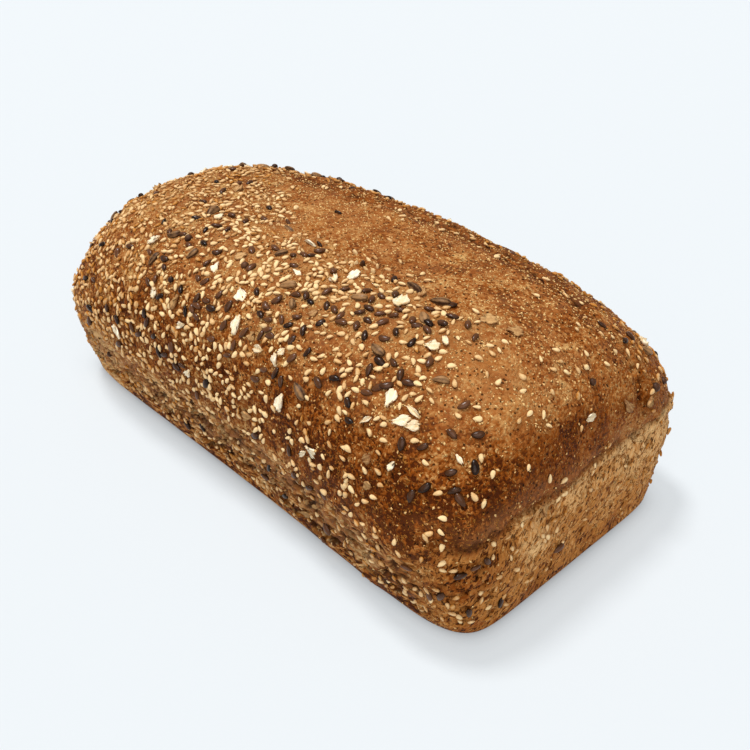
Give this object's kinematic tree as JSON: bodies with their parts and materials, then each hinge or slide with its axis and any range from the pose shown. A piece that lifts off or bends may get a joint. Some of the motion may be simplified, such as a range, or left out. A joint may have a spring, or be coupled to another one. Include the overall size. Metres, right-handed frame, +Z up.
{
  "type": "seeded whole wheat loaf",
  "caption": "Domed whole wheat tin loaf with a browned crust, seeds and rolled flakes fused over its top and sides, and a flat base to stand on.",
  "frame": {"origin": "middle of the loaf's box, on the plane of its flat base", "axes": "+X along the loaf towards its porous tin end, +Y across it towards the split back shoulder, +Z up"},
  "size_m": [0.2454, 0.1368, 0.0903],
  "materials": {
    "crust": "matte"
  },
  "bodies": {
    "root": {"loaf": "crust"}
  },
  "joints": []
}
